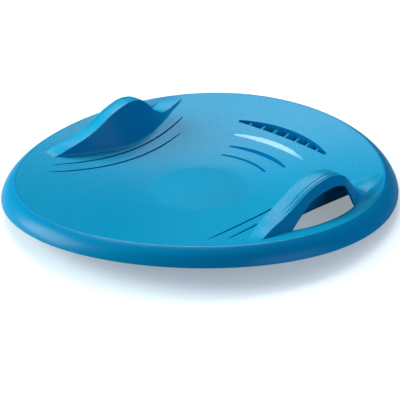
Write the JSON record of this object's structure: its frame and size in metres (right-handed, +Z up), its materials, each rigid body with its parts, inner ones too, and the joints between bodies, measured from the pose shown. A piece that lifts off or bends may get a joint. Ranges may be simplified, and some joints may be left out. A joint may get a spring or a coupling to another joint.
{
  "type": "saucer snow sled",
  "caption": "Round plastic saucer snow sled with a shallow seat dish, turned-down rim, raised hand holds at the sides and a finger-ribbed carry slot.",
  "frame": {"origin": "on the ground, under the middle of the flat in the seat dish", "axes": "+Z up; +Y towards the carry slot; +X towards the right hand hold"},
  "size_m": [0.6, 0.6, 0.0853],
  "materials": {
    "dish_grained_blue": "moulded polyethylene with a fine pebble grain",
    "rim_satin_blue": "smooth satin moulded polyethylene",
    "handle_satin_blue": "smooth satin moulded polyethylene",
    "grip_deep_blue": "smooth moulded polyethylene, seen in its own shade"
  },
  "bodies": {
    "root": {"dish": "dish_grained_blue", "rim": "rim_satin_blue", "right_handle": "handle_satin_blue", "left_handle": "handle_satin_blue", "carry_grip": "grip_deep_blue"}
  },
  "joints": []
}
